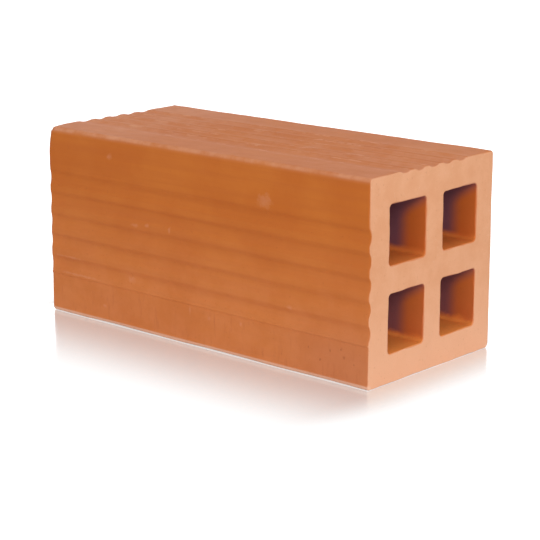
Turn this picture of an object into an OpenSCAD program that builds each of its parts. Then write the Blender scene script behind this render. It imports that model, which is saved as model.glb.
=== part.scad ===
// Hollow clay brick with four square cells, lying on one long side.
// Clay is pushed through a die, cut to length with a wire and fired, so the
// whole brick is one section carried along its length.
// X runs along the length, Y across the width, Z up; the floor is at Z = 0.

/* [Brick] */
// Length along the cells, in mm
length = 180; // [150:5:250]
// Width across the cells, in mm
width = 80; // [70:1:100]
// Height as it lies, in mm
height = 83; // [70:1:100]
// Rounding of the four long outer edges, in mm
edge_radius = 2; // [1:0.5:4]

/* [Cells] */
// Wall between the cells and the front side, in mm
front_wall = 12.5; // [8:0.5:14]
// Wall between the cells and the back side, in mm
back_wall = 11; // [8:0.5:14]
// Wall between a cell and the top or the underside, in mm
bed_wall = 12; // [8:0.5:14]
// Thickness of the cross between the cells, in mm
web = 11.5; // [8:0.5:14]
// Rounding of the cell corners, in mm
cell_radius = 1.5; // [1:0.5:4]

/* [Grooves] */
// Grooves side by side on the front side, and as many on the top
groove_count = 5; // [3:1:6]
// Width of the grooved band on the front side, in mm
front_band = 47.5; // [40:0.5:55]
// Width of the grooved band on the top, in mm
top_band = 45; // [40:0.5:55]
// Depth of the grooves, in mm
groove_depth = 1.1; // [0.8:0.1:2]
// Flat rib between two grooves, in mm
rib_width = 3; // [1:0.5:4]

/* [Hidden] */
cell_width = (width - front_wall - back_wall - web) / 2;
cell_height = (height - 2 * bed_wall - web) / 2;
// How far the cells stand back from the middle of the section
cell_shift = (front_wall - back_wall) / 2;
clay = [0.78, 0.45, 0.27];

module rounded_rectangle(size_x, size_y, radius) {
    square([size_x - 2 * radius, size_y], center = true);
    square([size_x, size_y - 2 * radius], center = true);
    for (x = [-1, 1], y = [-1, 1])
        translate([x * (size_x / 2 - radius), y * (size_y / 2 - radius)])
            circle(radius, $fn = 48);
}

// The grooves that the die draws in a flat face at Y = 0 whose clay lies below:
// arcs groove_depth deep at the middle that leave flat ribs level with the face
module grooved_band(band) {
    pitch = band / groove_count;
    chord = pitch - rib_width;
    radius = (pow(chord / 2, 2) + pow(groove_depth, 2)) / (2 * groove_depth);
    for (i = [0:groove_count - 1])
        translate([(i - (groove_count - 1) / 2) * pitch, radius - groove_depth])
            circle(radius, $fn = 96);
}

module cells() {
    for (x = [-1, 1], y = [-1, 1])
        translate([cell_shift + x * (cell_width + web) / 2, y * (cell_height + web) / 2])
            rounded_rectangle(cell_width, cell_height, cell_radius);
}

module section() {
    difference() {
        rounded_rectangle(width, height, edge_radius);
        translate([0, height / 2])
            grooved_band(top_band);
        translate([-width / 2, 0])
            rotate(90)
                grooved_band(front_band);
        cells();
    }
}

module brick() {
    color(clay)
        translate([0, 0, height / 2])
            rotate([90, 0, 90])
                linear_extrude(length, center = true)
                    section();
}

brick();
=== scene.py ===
import math

import bpy
import numpy as np
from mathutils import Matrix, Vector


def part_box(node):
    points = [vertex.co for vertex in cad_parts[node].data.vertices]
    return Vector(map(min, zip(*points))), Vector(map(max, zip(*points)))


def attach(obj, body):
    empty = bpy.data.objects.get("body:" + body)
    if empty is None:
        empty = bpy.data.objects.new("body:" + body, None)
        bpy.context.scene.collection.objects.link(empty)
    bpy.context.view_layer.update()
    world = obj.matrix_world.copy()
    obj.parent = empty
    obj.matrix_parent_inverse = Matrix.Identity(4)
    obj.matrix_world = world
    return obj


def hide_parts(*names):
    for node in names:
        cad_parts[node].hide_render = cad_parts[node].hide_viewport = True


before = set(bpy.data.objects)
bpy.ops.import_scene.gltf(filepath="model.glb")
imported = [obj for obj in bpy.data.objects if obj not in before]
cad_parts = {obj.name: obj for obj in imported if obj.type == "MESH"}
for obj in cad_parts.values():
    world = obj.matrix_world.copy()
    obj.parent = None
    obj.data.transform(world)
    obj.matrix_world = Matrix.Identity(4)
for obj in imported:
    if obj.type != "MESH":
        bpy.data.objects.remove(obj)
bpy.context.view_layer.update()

# The brick is one piece of fired clay. Stiff clay was pushed through a die, which drew the skin,
# the grooves and the cells along the length, and a wire cut it square at both ends before firing.
# The skin is smooth and deep orange with drag lines, the cut ends are paler and grainier.
brick_low, brick_high = (np.array(corner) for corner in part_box("brick"))
length, width, height = brick_high - brick_low
middle_height = brick_low[2] + height / 2
edge_radius, cell_radius = 0.0020, 0.0015
front_wall, back_wall, bed_wall, web = 0.0125, 0.0110, 0.0120, 0.0115
front_band, top_band, groove_count = 0.0475, 0.0450, 5
groove_depth, rib_width, rib_softness = 0.0011, 0.0030, 0.0003
top_groove_share = 0.75
lip_height, lip_width = 0.00040, 0.00035


def ripple(place, shortest, longest, seed, terms=14):
    """Smooth unevenness between about -1 and 1: a sum of sine waves over the last axis of place,
    with seeded directions and phases and wavelengths spread from shortest to longest."""
    pick = np.random.default_rng(seed)
    direction = pick.normal(size=(terms, place.shape[-1]))
    direction /= np.linalg.norm(direction, axis=1, keepdims=True)
    wavelength = np.geomspace(shortest, longest, terms)
    weight = np.sqrt(wavelength / wavelength.sum())
    phase = pick.uniform(0, 2 * math.pi, terms)
    turns = place @ (direction / wavelength[:, None]).T
    return np.sin(2 * math.pi * turns + phase) @ weight * math.sqrt(2 / 3)


def groove_hollow(across, band, lip):
    """Depth of a grooved face at a distance from its middle: one circular arc per pitch between flat
    ribs, softened where they meet, and at the border of the band a narrow bell-shaped lip of clay."""
    pitch = band / groove_count
    chord = pitch - rib_width
    radius = (chord ** 2 / 4 + groove_depth ** 2) / (2 * groove_depth)
    aside = np.mod(across / pitch + 0.5, 1) * pitch - pitch / 2
    arc = np.sqrt(np.maximum(radius ** 2 - aside ** 2, 0)) - (radius - groove_depth)
    hollow = np.where(across < band / 2, (arc + np.hypot(arc, rib_softness)) / 2, 0)
    return hollow - lip * np.exp(-(((across - band / 2) / lip_width) ** 2))


def plain_depth(across):
    """Depth of a face with no grooves: zero everywhere."""
    return np.zeros_like(across)


def top_depth(across):
    """Depth of the top: grooves shallower than those of the front."""
    return top_groove_share * groove_hollow(across, top_band, 0.0)


def front_upper_depth(across):
    """Depth of the upper half of the front: its grooves alone."""
    return groove_hollow(across, front_band, 0.0)


def front_lower_depth(across):
    """Depth of the lower half of the front: its grooves and the lip along their lower border."""
    return groove_hollow(across, front_band, lip_height)


def face_steps(reach, band):
    """Distances from the middle of a face to the start of its rounded edge: even steps in the
    grooved band, fine ones over its border and wide ones on the flat strip beside it."""
    border, fine_reach = band / 2, 0.0006
    grooved = np.linspace(0, border - 0.0009, 46)
    over_border = border + np.linspace(-fine_reach, fine_reach, 5)
    flat = np.linspace(border + 0.0010, reach - edge_radius, 9)
    return np.concatenate([grooved, over_border, flat])


def section_quarter(outward, along, reach, next_reach, depth, next_depth):
    """Quarter of the outer section, from the middle of one face round its corner to the middle of
    the next: points at each face's distance less its depth, with a quarter circle between them.
    Returns the points, the depth of the grooves and the mask of the rounded edge."""
    first = face_steps(next_reach, top_band if abs(outward[1]) > 0.5 else front_band)
    second = face_steps(reach, top_band if abs(along[1]) > 0.5 else front_band)[::-1]
    turn = np.linspace(0, math.pi / 2, 10)[1:-1, None]
    face = outward * (reach - depth(first))[:, None] + along * first[:, None]
    hub = outward * (reach - edge_radius) + along * (next_reach - edge_radius)
    corner = hub + edge_radius * (outward * np.cos(turn) + along * np.sin(turn))
    next_face = along * (next_reach - next_depth(second))[:, None] + outward * second[:, None]
    points = np.concatenate([face, corner, next_face[:-1]])
    below = np.concatenate([depth(first), np.zeros(len(turn)), next_depth(second)[:-1]])
    rounding = np.concatenate([np.zeros(len(first)), np.sin(2 * turn[:, 0]), np.zeros(len(second) - 1)])
    return points, below, rounding


def closed_normals(ring):
    """Outward normals of a closed counter-clockwise ring in the plane: its tangent turned right."""
    tangent = np.roll(ring, -1, axis=-2) - np.roll(ring, 1, axis=-2)
    normal = np.stack([tangent[..., 1], -tangent[..., 0]], axis=-1)
    return normal / np.linalg.norm(normal, axis=-1, keepdims=True)


def cell_span(direction):
    """Distances from the middle of the section to the near and the far side of a cell, looking in
    one direction. The cells stand back from the grooved front by half the difference of the walls."""
    shift = (front_wall - back_wall) / 2 * direction[0]
    if abs(direction[1]) > 0.5:
        far = height / 2 - bed_wall
    else:
        far = width / 2 - (front_wall if direction[0] < 0 else back_wall)
    return web / 2 + shift, far


def cell_ring(outward, along, counts):
    """One cell's outline in the same quarter: a square whose four sides match those of the quarter
    (outer face, next face, two halves of the cross), pushed in to a circle at each corner. The
    points crowd towards the corners, by a sine taken off their even shares of the side."""
    crowding = 0.75
    (near_out, far_out), (near_along, far_along) = cell_span(outward), cell_span(along)
    size_out, size_along = (far_out - near_out) / 2, (far_along - near_along) / 2
    centre = outward * (near_out + size_out) + along * (near_along + size_along)
    corners = np.array([[1, -1], [1, 1], [-1, 1], [-1, -1]], float)
    runs = []
    for start, end, count in zip(corners, np.roll(corners, -1, axis=0), counts):
        share = np.arange(count)[:, None] / count
        share = share - crowding * np.sin(2 * math.pi * share) / (2 * math.pi)
        runs.append(start + (end - start) * share)
    square = np.concatenate(runs) * [size_out, size_along]
    inner = np.clip(square, [cell_radius - size_out, cell_radius - size_along],
                    [size_out - cell_radius, size_along - cell_radius])
    spoke = square - inner
    far = np.linalg.norm(spoke, axis=1, keepdims=True)
    rounded = inner + spoke * np.where(far > cell_radius, cell_radius / np.maximum(far, 1e-9), 1)
    return centre + rounded[:, :1] * outward + rounded[:, 1:] * along


underside, back = np.array([0.0, -1.0]), np.array([1.0, 0.0])
top, front = -underside, -back
quarters = [
    (underside, back, height / 2, width / 2, plain_depth, plain_depth),
    (back, top, width / 2, height / 2, plain_depth, top_depth),
    (top, front, height / 2, width / 2, top_depth, front_upper_depth),
    (front, underside, width / 2, height / 2, front_lower_depth, plain_depth),
]
outline_parts = [section_quarter(*quarter) for quarter in quarters]
outline = np.concatenate([part[0] for part in outline_parts])
outline_below = np.concatenate([part[1] for part in outline_parts])
outline_corner = np.concatenate([part[2] for part in outline_parts])
outline_crest = np.where(outline_below > 1e-6, 1 - 2 * outline_below / groove_depth, 0).clip(-1, 1)
quarter_points = len(outline_parts[0][0])


def drawn_skin(ring, bulge, wears, stations, turn_steps):
    """A closed ring carried along the length. Stations lie evenly between the ends, and at each end
    a quarter circle of radius wear turns the skin into the cut: x loses wear * (1 - sin) and the
    ring moves by bulge * wear * (1 - cos) along its normal. Returns x, ring points and the turn."""
    angle = np.linspace(0, math.pi / 2, turn_steps)[1:, None]
    far, near = wears
    share = np.linspace(0, 1, stations)[:, None]
    along = (far - length / 2) * (1 - share) + (length / 2 - near) * share
    far_turn = far * (1 - np.sin(angle)) - length / 2
    near_turn = length / 2 - near * (1 - np.sin(angle))
    x = np.concatenate([far_turn[::-1], along, near_turn])
    rise = 1 - np.cos(angle)
    inset = np.concatenate([(far * rise)[::-1], np.zeros_like(along), near * rise])
    turned = np.concatenate([rise[::-1], np.zeros((stations, 1)), rise])
    return x, ring + closed_normals(ring) * (bulge * inset)[..., None], turned


# The wire rounds both ends a little, and the far corner between top and front is worn most.
end_rounding, end_unevenness = 0.0004, 0.0002
far_corner_rounding, far_corner_reach = 0.0028, 0.006
ring_place = np.concatenate([outline, np.zeros((len(outline), 1))], axis=1)
end_wear = end_rounding + end_unevenness * ripple(ring_place, 0.004, 0.03, 11)
from_corner = np.linalg.norm(outline - [-width / 2, height / 2], axis=1)
worn_corner = np.exp(-(from_corner / far_corner_reach) ** 2)
skin_wears = (end_wear + far_corner_rounding * worn_corner, end_wear)
skin_x, skin_ring, skin_turn = drawn_skin(outline, -1.0, skin_wears, stations=96, turn_steps=6)

# The skin wanders as the clay is pushed, swells slowly and has fine drag lines. The long edges are
# crisp, and clay partly fills the last millimetres of the grooves at the far end.
wander_size, swell_size, drag_size = 0.00018, 0.00012, 0.00004
edge_gain, edge_unevenness = 0.00022, 0.00012
corner_loss, corner_loss_reach = 0.0015, 0.012
smear_reach, smear_low, smear_high = 0.003, 0.80, 0.40
skin_place = np.concatenate([skin_x[..., None], np.broadcast_to(outline, skin_ring.shape)], axis=-1)
from_far_end = skin_x + length / 2
ring_steps = np.linalg.norm(np.roll(outline, -1, axis=0) - np.roll(outline, 1, axis=0), axis=1)
groove_slope = (np.roll(outline_below, -1) - np.roll(outline_below, 1)) / ring_steps
wander = wander_size * ripple(skin_place * [1, 0.1, 0.1], 0.030, 0.15, 20)
swell = swell_size * ripple(skin_place * [0.45, 1, 1], 0.020, 0.12, 21)
drag = drag_size * ripple(skin_place * [0.02, 1, 1], 0.0014, 0.006, 22)
worn = outline_corner * (edge_unevenness * ripple(skin_place, 0.006, 0.05, 23) - edge_gain
                         + corner_loss * worn_corner * np.exp(-(from_far_end / corner_loss_reach) ** 2))
filled = np.interp(outline[:, 1], [-front_band / 2, front_band / 2], [smear_low, smear_high])
smear = outline_below.clip(0) * filled * np.exp(-(from_far_end / smear_reach) ** 2)
skin_relief = swell + drag + smear - worn - groove_slope * wander
skin_ring = skin_ring + closed_normals(outline) * skin_relief[..., None]

grids = []


def lay_grid(points, shade, flip):
    """Adds a grid of points to the brick, with quads between neighbouring rows and columns, the
    columns closed into a ring. Flip turns the faces over."""
    rows, columns = points.shape[:2]
    index = np.arange(rows * columns).reshape(rows, columns)
    index = np.concatenate([index, index[:, :1]], axis=1)
    quads = np.stack([index[:-1, :-1], index[1:, :-1], index[1:, 1:], index[:-1, 1:]], axis=-1).reshape(-1, 4)
    grids.append((points.reshape(-1, 3), quads[:, ::-1] if flip else quads,
                  np.broadcast_to(shade, points.shape[:2] + (4,)).reshape(-1, 4)))


def shade_of(shape, cut=0.0, cell=0.0, crest=0.0, wear=0.0):
    """The four finish masks of a grid: wire cut, cell wall, height in a groove and worn edge."""
    return np.stack([np.broadcast_to(mask, shape) for mask in (cut, cell, crest, wear)], axis=-1)


skin_points = np.concatenate([skin_x[..., None], skin_ring + [0, middle_height]], axis=-1)
skin_wear = np.maximum(outline_corner, np.sin(math.pi * skin_turn))
lay_grid(skin_points, shade_of(skin_x.shape, cut=skin_turn ** 2, crest=outline_crest, wear=skin_wear), True)

# Each quarter of the section has its cell, and its share of the cut faces between skin and cell.
mouth_rounding, mouth_unevenness, cell_unevenness = 0.0006, 0.00025, 0.00015
cross_points, cut_rows = 26, 12
for number, (outward, along_next, *_) in enumerate(quarters):
    start = number * quarter_points
    own = np.arange(start, start + quarter_points + 1) % len(outline)
    half_points = quarter_points // 2
    side_counts = (half_points, quarter_points - half_points, cross_points, cross_points)
    cell_outline = cell_ring(outward, along_next, side_counts)
    mouth_place = np.concatenate([cell_outline, np.ones((len(cell_outline), 1))], axis=1)
    mouth_wear = mouth_rounding + mouth_unevenness * ripple(mouth_place, 0.004, 0.02, 31 + number)
    cell_x, cell_skin, cell_turn = drawn_skin(cell_outline, 1.0, (mouth_wear, mouth_wear),
                                              stations=26, turn_steps=5)
    cell_place = np.concatenate([cell_x[..., None], cell_skin], axis=-1)
    cell_relief = cell_unevenness * ripple(cell_place * [0.4, 1, 1], 0.015, 0.08, 41 + number)
    cell_skin = cell_skin - closed_normals(cell_outline) * cell_relief[..., None]
    cell_points = np.concatenate([cell_x[..., None], cell_skin + [0, middle_height]], axis=-1)
    lay_grid(cell_points, shade_of(cell_x.shape, cut=cell_turn ** 2, cell=1 - cell_turn ** 2,
                                   wear=np.sin(math.pi * cell_turn)), False)
    for end in (0, -1):
        rim = skin_points[end, own]
        heart = np.array([skin_points[end, 0, 0], 0.0, middle_height])
        step = (np.arange(cross_points) / cross_points)[:, None]
        to_heart, from_heart = rim[-1] + (heart - rim[-1]) * step, heart + (rim[0] - heart) * step
        border = np.concatenate([rim[:-1], to_heart, from_heart])
        across = np.linspace(0, 1, cut_rows)[:, None, None]
        cut_face = border * (1 - across) + cell_points[end] * across
        lay_grid(cut_face, shade_of(cut_face.shape[:2], cut=1.0), end == -1)

# Neighbouring grids become one closed mesh: points within a ten-thousandth of a millimetre are welded.
welds_per_metre = 1e7
offsets = np.cumsum([0] + [len(points) for points, _, _ in grids])
points = np.concatenate([part[0] for part in grids])
quads = np.concatenate([part[1] + offset for part, offset in zip(grids, offsets)])
shades = np.concatenate([part[2] for part in grids])
whole_places = np.round(points * welds_per_metre).astype(np.int64)
_, kept, place_of = np.unique(whole_places, axis=0, return_index=True, return_inverse=True)
points, shades, quads = points[kept], shades[kept], place_of.reshape(-1)[quads]

# The wire leaves each end slightly uneven: the outermost millimetres move in or out with a ripple.
# The underside then lies flat, with nothing below the floor.
wire_reach, wire_unevenness, wire_loss = 0.004, 0.00016, 0.00012
near_end = np.clip((np.abs(points[:, 0]) - length / 2 + wire_reach) / wire_reach, 0, 1)
wire = wire_unevenness * ripple(points, 0.012, 0.09, 51) - wire_loss
points[:, 0] += np.sign(points[:, 0]) * near_end * wire
points[:, 2] = np.maximum(points[:, 2], brick_low[2])

brick_mesh = bpy.data.meshes.new("clay_brick")
brick_mesh.from_pydata(points.tolist(), [], quads.tolist())
brick_mesh.polygons.foreach_set("use_smooth", np.ones(len(quads), bool))
for column, mask_name in enumerate(("cut", "cell", "crest", "wear")):
    mask = brick_mesh.attributes.new(mask_name, "FLOAT", "POINT")
    mask.data.foreach_set("value", np.ascontiguousarray(shades[:, column], np.float32))
brick_mesh.update()
brick = bpy.data.objects.new("clay_brick", brick_mesh)
bpy.context.collection.objects.link(brick)


class Shade:
    """One value or colour in a material. Sums, differences and products of values add Math nodes,
    and make() adds any other node to the same material."""

    def __init__(self, tree, socket=None):
        self.tree, self.socket = tree, socket

    def make(self, kind, settings=None, sockets=None, output=0):
        """Adds a node: its settings come first, then a value or a link for each named socket."""
        node = self.tree.nodes.new(kind)
        for name, setting in (settings or {}).items():
            setattr(node, name, setting)
        for name, given in (sockets or {}).items():
            if isinstance(given, Shade):
                self.tree.links.new(given.socket, node.inputs[name])
            else:
                node.inputs[name].default_value = given
        return Shade(self.tree, node.outputs[output])

    def math(self, operation, *values):
        return self.make("ShaderNodeMath", {"operation": operation}, dict(enumerate(values)))

    def __add__(self, other):
        return self.math("ADD", self, other)

    def __sub__(self, other):
        return self.math("SUBTRACT", self, other)

    def __rsub__(self, other):
        return self.math("SUBTRACT", other, self)

    def __mul__(self, other):
        return self.math("MULTIPLY", self, other)

    __radd__, __rmul__ = __add__, __mul__

    def between(self, low, high):
        """Rises smoothly from 0 where the value is low to 1 where it is high."""
        return self.make("ShaderNodeMapRange", {"interpolation_type": "SMOOTHSTEP"},
                         {"Value": self, "From Min": low, "From Max": high})

    def grain(self, scale, detail, roughness, stretch=(1, 1, 1), shift=(0, 0, 0)):
        """Noise over this place, in features of about 1 / scale metres, stretched along the axes."""
        place = self.make("ShaderNodeMapping", {}, {"Vector": self, "Scale": stretch, "Location": shift})
        return self.make("ShaderNodeTexNoise", {}, {"Vector": place, "Scale": scale, "Detail": detail,
                                                    "Roughness": roughness})

    def spot(self, centre, size, ragged):
        """A mark on this place: 1 at the centre, falling to 0 at its half-sizes, with a ragged edge."""
        scale = [1 / reach for reach in size]
        location = [-at / reach for at, reach in zip(centre, size)]
        inward = self.make("ShaderNodeMapping", {}, {"Vector": self, "Scale": scale, "Location": location})
        away = self.make("ShaderNodeVectorMath", {"operation": "LENGTH"}, {0: inward}, output="Value")
        return (away + ragged).between(1.1, 0.1)

    def blend(self, first, second):
        """Mixes two colours, with this value as the share of the second."""
        share, first_colour, second_colour, mixed_colour = 0, 6, 7, 2
        return self.make("ShaderNodeMix", {"data_type": "RGBA"},
                         {share: self, first_colour: first, second_colour: second}, output=mixed_colour)


def tone(red, green, blue):
    """A colour given as it looks on a screen, 0 to 255, turned into light."""
    return tuple(((part / 255 + 0.055) / 1.055) ** 2.4 for part in (red, green, blue)) + (1.0,)


fired_clay = bpy.data.materials.new("fired_clay")
fired_clay.use_nodes = True
clay_tree = fired_clay.node_tree
surface = clay_tree.nodes["Principled BSDF"]
clay = Shade(clay_tree)
place = clay.make("ShaderNodeTexCoord", output="Object")
cut, cell, crest, wear = (clay.make("ShaderNodeAttribute", {"attribute_name": mask_name}, output="Fac")
                          for mask_name in ("cut", "cell", "crest", "wear"))
along_x, across_y, up = (clay.make("ShaderNodeSeparateXYZ", {}, {"Vector": place}, output=axis)
                         for axis in ("X", "Y", "Z"))
depth_in = length / 2 - clay.math("ABSOLUTE", along_x)
off_middle = clay.math("ABSOLUTE", across_y)

cloud = place.grain(28, 4, 0.6)
patch = place.grain(90, 4, 0.6, shift=(3, 1, 7))
streak = place.grain(300, 4, 0.65, stretch=(0.035, 1, 1))
grit = place.grain(420, 4, 0.6)
speck = place.grain(900, 2, 0.5)
fine = place.grain(1400, 3, 0.6)
patchy = patch.between(0.3, 0.7)

# The drawn skin: deep orange with darker drag lines, paler towards the foot as painted light from the floor,
# and duller at the near foot.
skin_colour = cloud.between(0.3, 0.7).blend(tone(193, 102, 32), tone(201, 112, 40))
skin_colour = (streak.between(0.38, 0.72) * 0.45).blend(skin_colour, tone(188, 98, 36))
painted_floor_light = up.between(0.072, 0.0) * (0.65 + patchy * 0.45)
skin_colour = (painted_floor_light * 0.5).blend(skin_colour, tone(227, 144, 92))
dull_foot = up.between(0.030, 0.010) * along_x.between(0.030, 0.085)
skin_colour = (dull_foot * 0.35).blend(skin_colour, tone(185, 112, 84))

# Pale dust on the top, more of it at the ends and less on the flat strips, and small flecks on the ribs.
# Painted light
# and shade too: the grooves are painted paler and the rib tops darker, against the shading and sheen the
# lamps give them.
upper_side = up.between(0.0800, 0.0826)
dust_and_painted_light = upper_side * (0.38 + crest.between(-1.0, 0.4) * 0.11 - crest.between(0.75, 1.0) * 0.40
                     + along_x.between(-0.02, -0.07) * 0.27 + along_x.between(0.03, 0.08) * 0.10
                     - off_middle.between(0.021, 0.027) * 0.17)
skin_colour = (dust_and_painted_light * (0.5 + patchy * 0.5)).blend(skin_colour, tone(222, 158, 126))
chips = place.grain(320, 3, 0.6, stretch=(0.35, 1, 1)).between(0.55, 0.65)
fleck = upper_side * crest.between(0.3, 0.9) * chips
skin_colour = (fleck * 0.5).blend(skin_colour, tone(226, 160, 122))

# The cells: redder walls, a painted shadow deep inside and below the roof, and crumbs on the floor that also
# paint light onto it.
skin_colour = (cell * 0.7).blend(skin_colour, tone(206, 100, 40))
cell_pitch = (height - 2 * bed_wall + web) / 2
above_cell = clay.math("FLOORED_MODULO", up - bed_wall + web / 2, cell_pitch) - web / 2
lower_cells = up.between(0.040, 0.020)
# A painted shadow with a purple tint in each cell: dark deep inside and in a slanting band below the roof,
# where the mouth's edges would cast it, weaker in the lower cells.
lit_near_mouth = depth_in.between(0.0148, 0.0070)
lit_below_roof_edge = (above_cell + depth_in * 0.64).between(0.0272, 0.0195)
cell_painted_shadow = cell * (1 - lit_near_mouth * lit_below_roof_edge) * above_cell.between(0.0, 0.003)
skin_colour = (cell_painted_shadow * (0.85 - lower_cells * 0.11)).blend(skin_colour, tone(102, 70, 92))
# Crumbs on the cell floors, pale enough to be a painted pool of light there too, most in the lower cells.
crumb_height = above_cell + (patch - 0.5) * 0.007
crumbs_and_painted_light = cell * crumb_height.between(0.0032, 0.0) * depth_in.between(0.040, 0.010)
skin_colour = (crumbs_and_painted_light * (0.4 + lower_cells * 0.55)).blend(skin_colour, tone(240, 142, 66))

# Pale scuffs and dark pits on the front, in millimetres along, up, half length and half height.
millimetre, mark_depth, scuff_growth = 0.001, 0.003, 10 / 9
scuffs = [(-52, 74, 2.4, 1.6), (37, 67, 4.2, 3.2), (-37, 46.5, 2.4, 0.9), (-79, 25.8, 9, 0.6),
          (-72, 18.6, 14, 0.6), (-29.3, 47.3, 1.6, 0.9), (-16.3, 47.1, 0.9, 1.5), (-4.6, 15.2, 0.7, 1.9),
          (6.2, 13.7, 1.1, 1.0), (24, 14.5, 0.8, 1.1), (-56.2, 7.6, 1.2, 0.7), (50, 26, 3.0, 1.0),
          (-40, 22, 3.0, 1.6)]
pits = [(78, 11, 0.7, 1.05), (76.5, 14, 0.5, 0.75), (71, 12.5, 0.5, 0.75), (83, 9, 0.45, 0.675),
        (66, 8, 0.5, 0.75), (60, 12, 0.4, 0.6)]
ragged = (speck - 0.5) * 0.6 + (grit - 0.5) * 2.0


def front_marks(marks, growth):
    """The strongest of a list of marks on the front, each grown by the same factor."""
    marked = 0.0
    for at_x, at_z, long, tall in marks:
        centre = (at_x * millimetre, -width / 2, at_z * millimetre)
        size = (long * growth * millimetre, mark_depth, tall * growth * millimetre)
        marked = clay.math("MAXIMUM", place.spot(centre, size, ragged), marked)
    return marked


skin_colour = (front_marks(scuffs, scuff_growth) * 0.17).blend(skin_colour, tone(232, 172, 142))
pitted = front_marks(pits, 1.0)
skin_colour = (pitted * 0.35).blend(skin_colour, tone(140, 70, 34))

# Short upright scratches along the lower strip.
upright = place.grain(420, 3, 0.6, stretch=(1, 1, 0.2)).between(0.52, 0.75)
scratch = up.between(0.019, 0.013) * upright * patch.between(0.35, 0.60) * (1 - cell)
skin_colour = (scratch * 0.40).blend(skin_colour, tone(176, 92, 52))

# The cut ends, paler towards the foot, then specks, and pale worn edges on everything, which also paint the
# highlight along the edges.
cut_colour = patchy.blend(tone(228, 163, 121), tone(234, 172, 132))
cut_colour = (up.between(0.045, 0.0) * 0.73).blend(cut_colour, tone(246, 187, 150))
colour = cut.blend(skin_colour, cut_colour)
colour = (cut * speck.between(0.62, 0.75) * 0.25).blend(colour, tone(238, 196, 166))
colour = (speck.between(0.36, 0.25) * 0.18).blend(colour, tone(150, 78, 40))
# Pale worn edges, also a painted highlight along them.
colour = (wear.between(0.2, 1.0) * patch.between(0.30, 0.65) * 0.4).blend(colour, tone(230, 170, 135))
# A painted light along the bottom edge, over the shade it lies in next to the floor.
bottom_edge_painted_light = up.between(0.0028, 0.0010) * wear.between(0.0, 0.5)
colour = (bottom_edge_painted_light * 0.6).blend(colour, tone(246, 205, 180))

roughness = 0.74 + cut * 0.12 + (patch - 0.5) * 0.2
relief = fine * (0.25 + cut * 0.5) + streak * (1 - cut) * 0.8 + grit * (0.3 + cut * 0.5) - pitted * 1.5
bumps = clay.make("ShaderNodeBump", {}, {"Height": relief, "Strength": 0.5, "Distance": 0.0002})
clay_tree.links.new(colour.socket, surface.inputs["Base Color"])
clay_tree.links.new(roughness.socket, surface.inputs["Roughness"])
clay_tree.links.new(bumps.socket, surface.inputs["Normal"])
surface.inputs["Specular IOR Level"].default_value = 0.25
brick_mesh.materials.append(fired_clay)

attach(brick, "root")
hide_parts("brick")

# The floor is a smooth white board with a faint gloss. It keeps the soft shadow of the brick and
# shows white to the camera where nothing shades it.
board_reach = 4
board_mesh = bpy.data.meshes.new("white_board")
board_mesh.from_pydata([(-board_reach, -board_reach, 0), (board_reach, -board_reach, 0),
                        (board_reach, board_reach, 0), (-board_reach, board_reach, 0)], [], [(0, 1, 2, 3)])
board = bpy.data.objects.new("white_board", board_mesh)
bpy.context.collection.objects.link(board)
white_gloss = bpy.data.materials.new("white_gloss")
white_gloss.use_nodes = True
board_tree = white_gloss.node_tree
board_tree.nodes.remove(board_tree.nodes["Principled BSDF"])
paint = Shade(board_tree)
seen = paint.make("ShaderNodeLightPath", output="Is Camera Ray")
board_place = paint.make("ShaderNodeTexCoord", output="Object")
board_x, board_y = (paint.make("ShaderNodeSeparateXYZ", {}, {"Vector": board_place}, output=axis)
                    for axis in ("X", "Y"))

# How far a place lies outside the brick's footprint. The distance counts more past the ends and most
# behind the brick, so that shadow and gloss end sooner there.
end_weight, far_end_weight, behind_weight = 2.4, 2.5, 8
past_far_end = paint.math("MAXIMUM", (-length / 2 - board_x) * far_end_weight, 0.0)
past_end = paint.math("MAXIMUM", board_x - length / 2, past_far_end) * end_weight
past_back = paint.math("MAXIMUM", (board_y - width / 2) * behind_weight, 0.0)
past_side = paint.math("MAXIMUM", -width / 2 - board_y, past_back)
beside = paint.math("SQRT", past_end * past_end + past_side * past_side)
# Painted light on the floor inside the brick's footprint, below its rounded foot: it glows a little more and
# reflects less there, paling the contact shadow.
painted_light_at_foot = beside.between(0.0006, 0.0)
matte = paint.make("ShaderNodeBsdfDiffuse", {}, {"Color": (0.88, 0.88, 0.88, 1)})
glow = paint.make("ShaderNodeEmission", {}, {"Color": (1, 1, 1, 1), "Strength": 1.4})
mirror = paint.make("ShaderNodeBsdfGlossy", {}, {"Color": (0.86, 0.93, 0.97, 1), "Roughness": 0.16})
glow_share = seen * (0.4 + beside.between(0.01, 0.16) * 0.6 + painted_light_at_foot * 0.04)
mirror_share = seen * beside.between(0.06, 0.0) * (1 - painted_light_at_foot * 0.6) * 0.57
lit = paint.make("ShaderNodeMixShader", {}, {0: glow_share, 1: matte, 2: glow})
gloss = paint.make("ShaderNodeMixShader", {}, {0: mirror_share, 1: lit, 2: mirror})
board_tree.links.new(gloss.socket, board_tree.nodes["Material Output"].inputs["Surface"])
board_mesh.materials.append(white_gloss)

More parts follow.
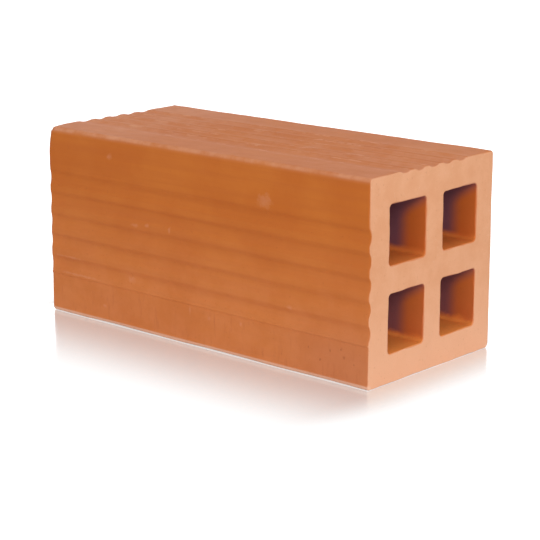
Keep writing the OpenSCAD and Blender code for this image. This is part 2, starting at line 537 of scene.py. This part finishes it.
# Soft studio light: an even room, white where it is seen, and four large lamps. The lamp at the right
# lights the cut end most, and those above, at the left and behind fill in the other sides.
room = bpy.data.worlds.new("room")
room.use_nodes = True
bpy.context.scene.world = room
room_level, white_level = 0.36, 1.0
air = Shade(room.node_tree)
camera_ray, glossy_ray, through_ray = (
    air.make("ShaderNodeLightPath", output=f"Is {kind} Ray") for kind in ("Camera", "Glossy", "Transmission"))
plain_view = air.math("MAXIMUM", air.math("MAXIMUM", camera_ray, glossy_ray), through_ray)
room_strength = plain_view * (white_level - room_level) + room_level
room_light = room.node_tree.nodes["Background"]
room_light.inputs["Color"].default_value = (1, 1, 1, 1)
room.node_tree.links.new(room_strength.socket, room_light.inputs["Strength"])


def hang_lamp(name, place, size, power):
    """A square lamp at a place, turned so that it shines at the middle of the brick."""
    aim_height = 0.04
    bulb = bpy.data.lights.new(name, "AREA")
    bulb.size, bulb.energy = size, power
    lamp = bpy.data.objects.new(name, bulb)
    lamp.location = place
    away = np.array(place) - [0, 0, aim_height]
    tilt = math.atan2(math.hypot(away[0], away[1]), away[2])
    lamp.rotation_euler = (tilt, 0, math.atan2(away[0], -away[1]))
    bpy.context.collection.objects.link(lamp)


hang_lamp("end_lamp", (1.2, -0.75, 0.6), 0.8, 11.5)
hang_lamp("top_lamp", (0.15, 0.25, 1.3), 0.9, 3.55)
hang_lamp("side_lamp", (-0.7, -1.4, 0.15), 1.2, 6.1)
hang_lamp("back_lamp", (-1.1, 1.1, 0.12), 1.0, 6)

# The camera stands where the photograph was taken from, in front of the near corner and a little
# above the brick. Its tilt below the horizon and its turn from the front are in degrees.
camera_tilt, camera_turn = 14.09, 41.59
camera_data = bpy.data.cameras.new("camera")
camera_data.sensor_width = 36
camera_data.lens = 119.07
camera = bpy.data.objects.new("camera", camera_data)
camera.location = (0.4955, -0.5534, 0.2120)
camera.rotation_euler = (math.radians(90 - camera_tilt), 0, math.radians(camera_turn))
bpy.context.collection.objects.link(camera)
bpy.context.scene.camera = camera
bpy.context.scene.view_settings.view_transform = "Standard"
